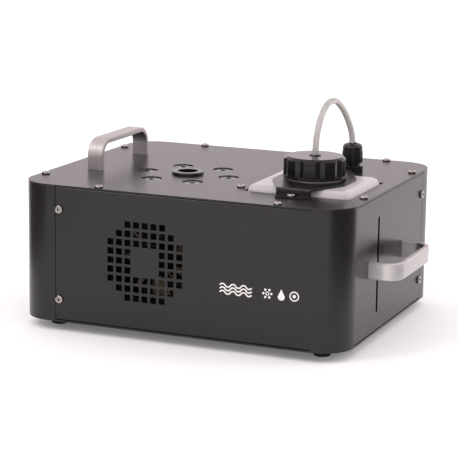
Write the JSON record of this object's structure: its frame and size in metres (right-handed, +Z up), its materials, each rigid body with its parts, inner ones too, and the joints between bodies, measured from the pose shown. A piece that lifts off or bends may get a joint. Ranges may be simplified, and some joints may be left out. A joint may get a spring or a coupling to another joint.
{
  "type": "fog machine",
  "caption": "Upright-firing fog machine in a black steel case, with a drop-in fluid tank, a lit nozzle, a front fan grille and two bar handles.",
  "frame": {"origin": "on the floor, in the middle of the overall box of case, screws and side handle", "axes": "+Z up, -Y out of the front with the fan grille, +X towards the side handle"},
  "size_m": [0.36, 0.2788, 0.2211],
  "materials": {
    "black_powder_coat": "fine satin texture",
    "brushed_aluminium": "brushed and clear anodised",
    "steel_screws": "nickel plated",
    "zinc_steel": "bright zinc plated",
    "black_rubber": "matt",
    "tank_hdpe": "translucent natural",
    "black_nylon": "moulded, slight sheen",
    "black_gloss": "polished moulding",
    "clear_tube": "translucent",
    "clear_acrylic": "clear polished",
    "board_green": "solder mask",
    "board_black": "black solder mask",
    "cast_aluminium": "as cast",
    "mineral_wool": "felted fibre",
    "brass_fittings": "turned",
    "display_tint": "tinted clear",
    "rocker_red": "moulded"
  },
  "bodies": {
    "case": {"front_cover": "black_powder_coat", "rear_cover": "black_powder_coat", "lid": "black_powder_coat", "base_plate": "black_powder_coat", "seam_strips": "black_powder_coat", "tank_holder": "black_powder_coat", "top_handle": "brushed_aluminium", "side_handle": "brushed_aluminium", "case_screws": "steel_screws", "base_screws": "steel_screws", "inner_screws": "steel_screws", "feet": "black_rubber", "tank_pad": "black_rubber", "gland_seal": "black_rubber", "pump_mounts": "black_rubber", "tank": "tank_hdpe", "gland_body": "black_nylon", "gland_nut": "black_nylon", "fluid_tube": "clear_tube", "inner_tubes": "clear_tube", "pickup_filter": "brass_fittings", "nozzle_ring": "black_gloss", "nozzle_pipe": "zinc_steel", "light_lenses": "clear_acrylic", "lens_holders": "black_nylon", "light_board": "board_black", "light_heatsink": "cast_aluminium", "light_studs": "zinc_steel", "fan_frame": "black_nylon", "inner_brackets": "zinc_steel", "heat_shield": "zinc_steel", "heater_block": "cast_aluminium", "heater_wool": "mineral_wool", "heating_rods": "zinc_steel", "thermostats": "zinc_steel", "tube_ports": "brass_fittings", "pump_barrel": "brass_fittings", "pump_spring": "zinc_steel", "pump_coil": "black_nylon", "pump_yoke": "zinc_steel", "control_board": "board_green", "menu_board": "board_green", "power_inlet": "black_nylon", "contact_pins": "brass_fittings", "power_switch": "black_nylon", "dmx_in": "black_nylon", "dmx_out": "black_nylon", "display_window": "display_tint"},
    "fan_rotor": {"fan_rotor": "black_nylon"},
    "cap_liner": {"cap_seal": "black_rubber", "cap_bushing": "black_nylon"},
    "tank_cap": {"tank_cap": "black_nylon"},
    "button_1": {"button_1": "black_gloss"},
    "button_2": {"button_2": "black_gloss"},
    "button_3": {"button_3": "black_gloss"},
    "button_4": {"button_4": "black_gloss"},
    "switch_rocker": {"switch_rocker": "rocker_red"},
    "fuse_drawer": {"fuse_drawer": "black_nylon"},
    "dmx_out_latch": {"dmx_out_latch": "zinc_steel"},
    "pump_piston": {"pump_piston": "zinc_steel"}
  },
  "joints": [
    {"name": "fan_spin", "type": "hinge", "parent": "case", "child": "fan_rotor", "pos_m": [-0.0456, -0.112, 0.0755], "axis": [0, 1, 0], "continuous": true},
    {"name": "cap_lift", "type": "slide", "parent": "case", "child": "cap_liner", "axis": [0, 0, 1], "range_m": [0, 0.0063]},
    {"name": "cap_turn", "type": "hinge", "parent": "cap_liner", "child": "tank_cap", "pos_m": [0.083, -0.035, 0.16], "axis": [0, 0, 1], "range_deg": [0, 450]},
    {"name": "rocker_tilt", "type": "hinge", "parent": "case", "child": "switch_rocker", "pos_m": [0.057, 0.137, 0.0515], "axis": [1, 0, 0], "range_deg": [0, 14]},
    {"name": "fuse_drawer_slide", "type": "slide", "parent": "case", "child": "fuse_drawer", "axis": [0, 1, 0], "range_m": [0, 0.016]},
    {"name": "latch_press", "type": "slide", "parent": "case", "child": "dmx_out_latch", "axis": [0, -1, 0], "range_m": [0, 0.0015], "stiffness_N_per_m": 400, "springref_m": -0.001},
    {"name": "piston_stroke", "type": "slide", "parent": "case", "child": "pump_piston", "axis": [0, 0, -1], "range_m": [0, 0.003], "stiffness_N_per_m": 400, "springref_m": -0.003, "deforming": ["pump_spring"]},
    {"name": "button_1_press", "type": "slide", "parent": "case", "child": "button_1", "axis": [0, -1, 0], "range_m": [0, 0.001], "stiffness_N_per_m": 400, "springref_m": -0.001},
    {"name": "button_2_press", "type": "slide", "parent": "case", "child": "button_2", "axis": [0, -1, 0], "range_m": [0, 0.001], "stiffness_N_per_m": 400, "springref_m": -0.001},
    {"name": "button_3_press", "type": "slide", "parent": "case", "child": "button_3", "axis": [0, -1, 0], "range_m": [0, 0.001], "stiffness_N_per_m": 400, "springref_m": -0.001},
    {"name": "button_4_press", "type": "slide", "parent": "case", "child": "button_4", "axis": [0, -1, 0], "range_m": [0, 0.001], "stiffness_N_per_m": 400, "springref_m": -0.001}
  ],
  "couplings": [
    {"joint": "cap_lift", "follows": "cap_turn", "m_per_rad": 0.00079577}
  ]
}
